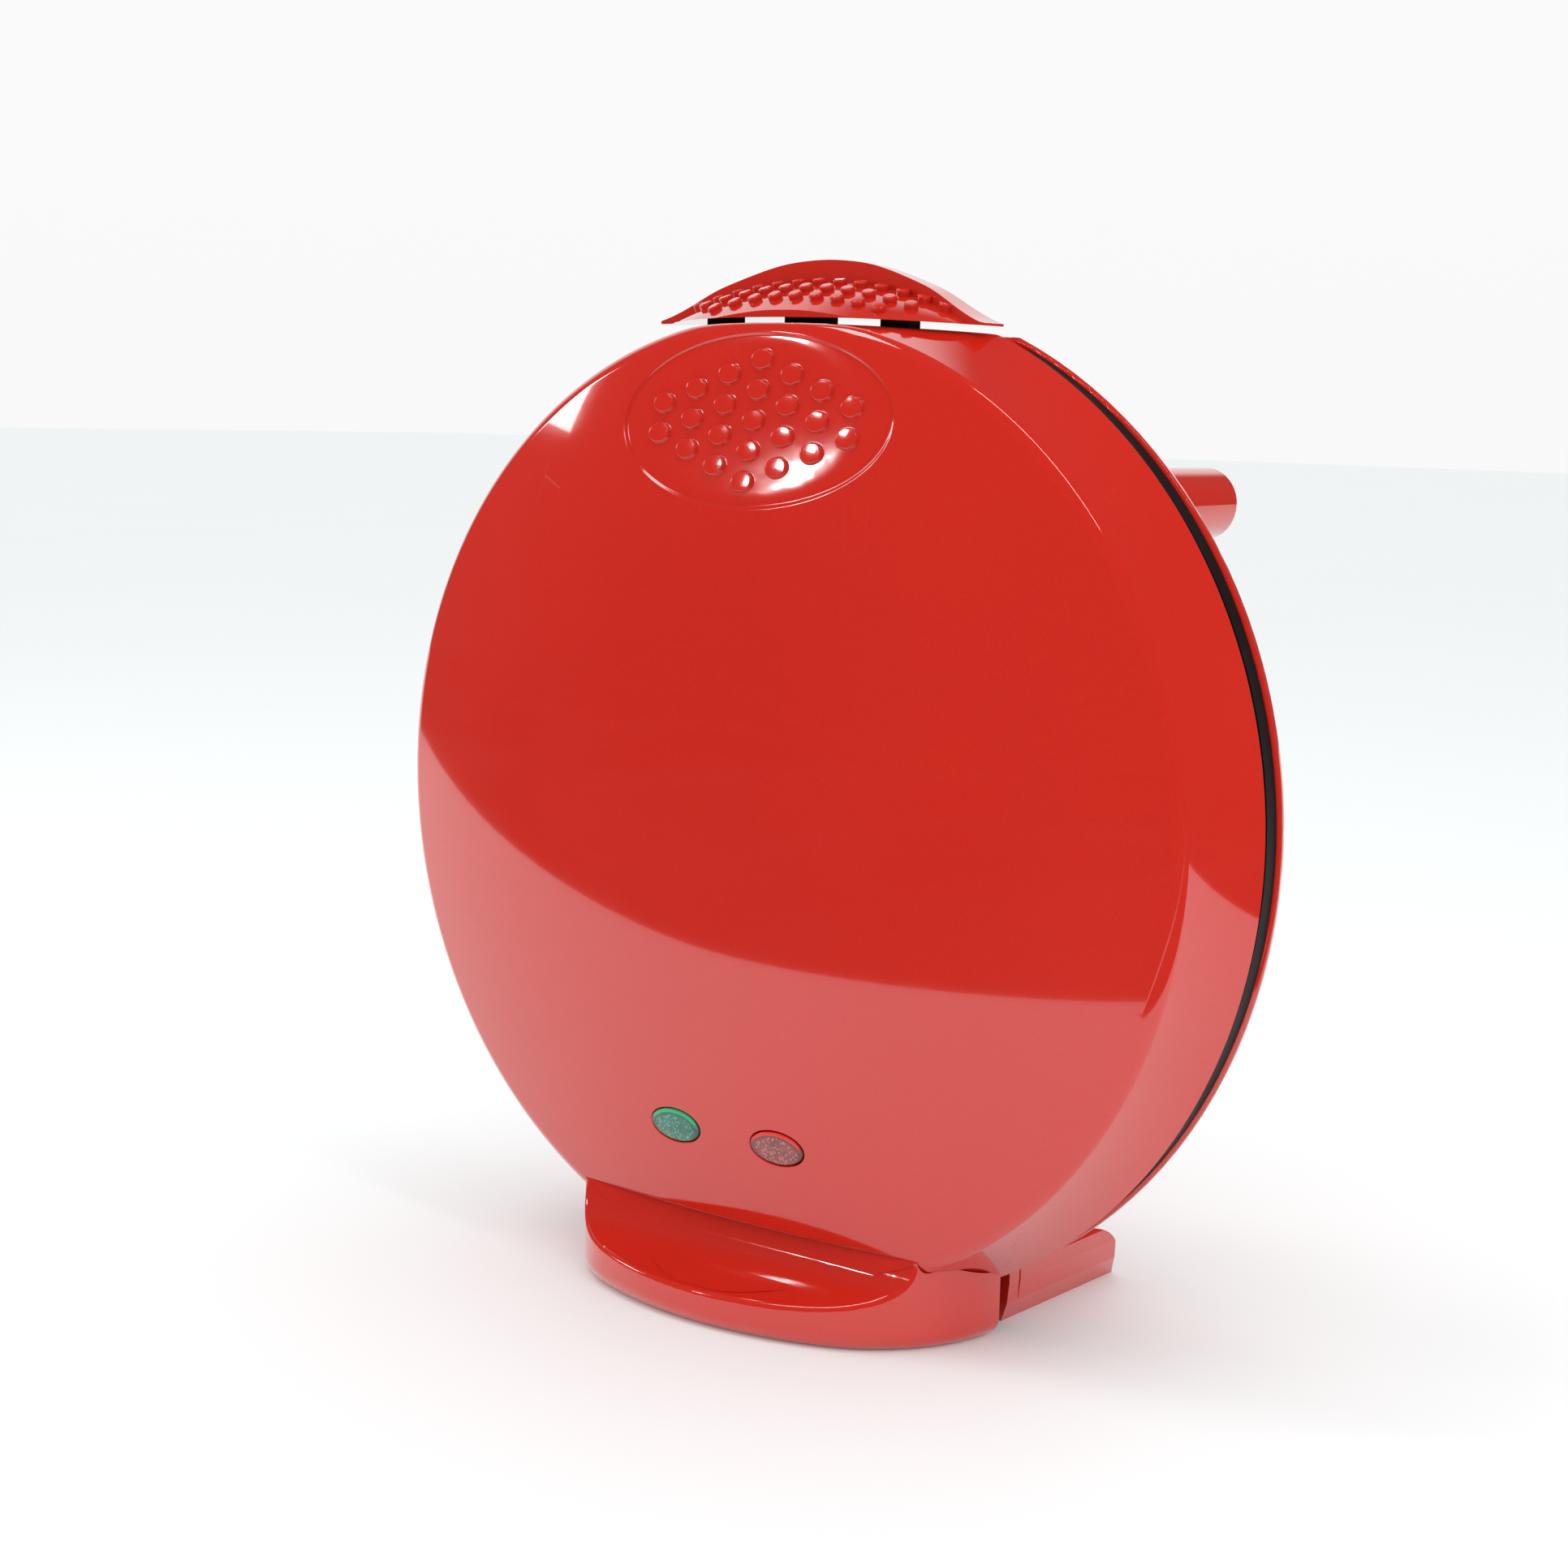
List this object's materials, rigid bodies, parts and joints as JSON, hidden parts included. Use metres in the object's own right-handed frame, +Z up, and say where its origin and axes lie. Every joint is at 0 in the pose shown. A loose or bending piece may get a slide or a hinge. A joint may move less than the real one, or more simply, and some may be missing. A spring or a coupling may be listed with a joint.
{
  "type": "quesadilla maker",
  "caption": "Round electric quesadilla maker with a domed hinged lid, ridged plates and a lift handle, standing upright on its hinge end.",
  "frame": {"origin": "centre of the footprint's bounding box, on the floor under the upright appliance", "axes": "+Z up towards the lift handle, -Y out of the lid's outer face, +X to the viewer's right"},
  "size_m": [0.2934, 0.1239, 0.3007],
  "materials": {
    "red_shell": "gloss with fine speckle",
    "black_trim": "fine matte",
    "green_lens": "translucent, gloss",
    "red_lens": "translucent, gloss, diffuser inside",
    "lamp_glass": "clear",
    "nonstick": "cast, dark non-stick coating",
    "element": "sheathed tube, heat-darkened",
    "shield": "aluminised sheet",
    "steel": "zinc plated",
    "ceramic": "glazed ceramic",
    "rubber": "matte"
  },
  "bodies": {
    "base": {"base_shell": "red_shell", "foot_sole": "black_trim", "sole_screws": "steel", "hinge_arms": "steel", "hinge_arm_screws": "steel", "leg_pads": "rubber", "base_bezel": "black_trim", "base_bezel_screws": "steel", "lower_plate": "nonstick", "lower_element": "element", "lower_element_clips": "steel", "lower_heat_shield": "shield", "lower_shield_screws": "steel", "thermostat": "ceramic", "terminal_block": "ceramic", "cord_gland": "black_trim"},
    "lid": {"lid_shell": "red_shell", "hinge_cowl": "red_shell", "cowl_screws": "steel", "handle": "red_shell", "handle_bracket": "black_trim", "handle_screws": "steel", "green_lens": "green_lens", "red_lens": "red_lens", "lamp_holder": "black_trim", "indicator_lamps": "lamp_glass", "lamp_holder_screws": "steel", "upper_heat_shield": "shield", "upper_shield_screws": "steel", "upper_element": "element", "upper_element_clips": "steel", "thermal_cutoff": "ceramic", "upper_plate": "nonstick", "lid_bezel": "black_trim", "lid_bezel_screws": "steel", "hinge_pins": "steel"}
  },
  "joints": [
    {"name": "lid_hinge", "type": "hinge", "parent": "base", "child": "lid", "pos_m": [0, -0.0136, 0.0065], "axis": [1, 0, 0], "range_deg": [0, 105]}
  ]
}
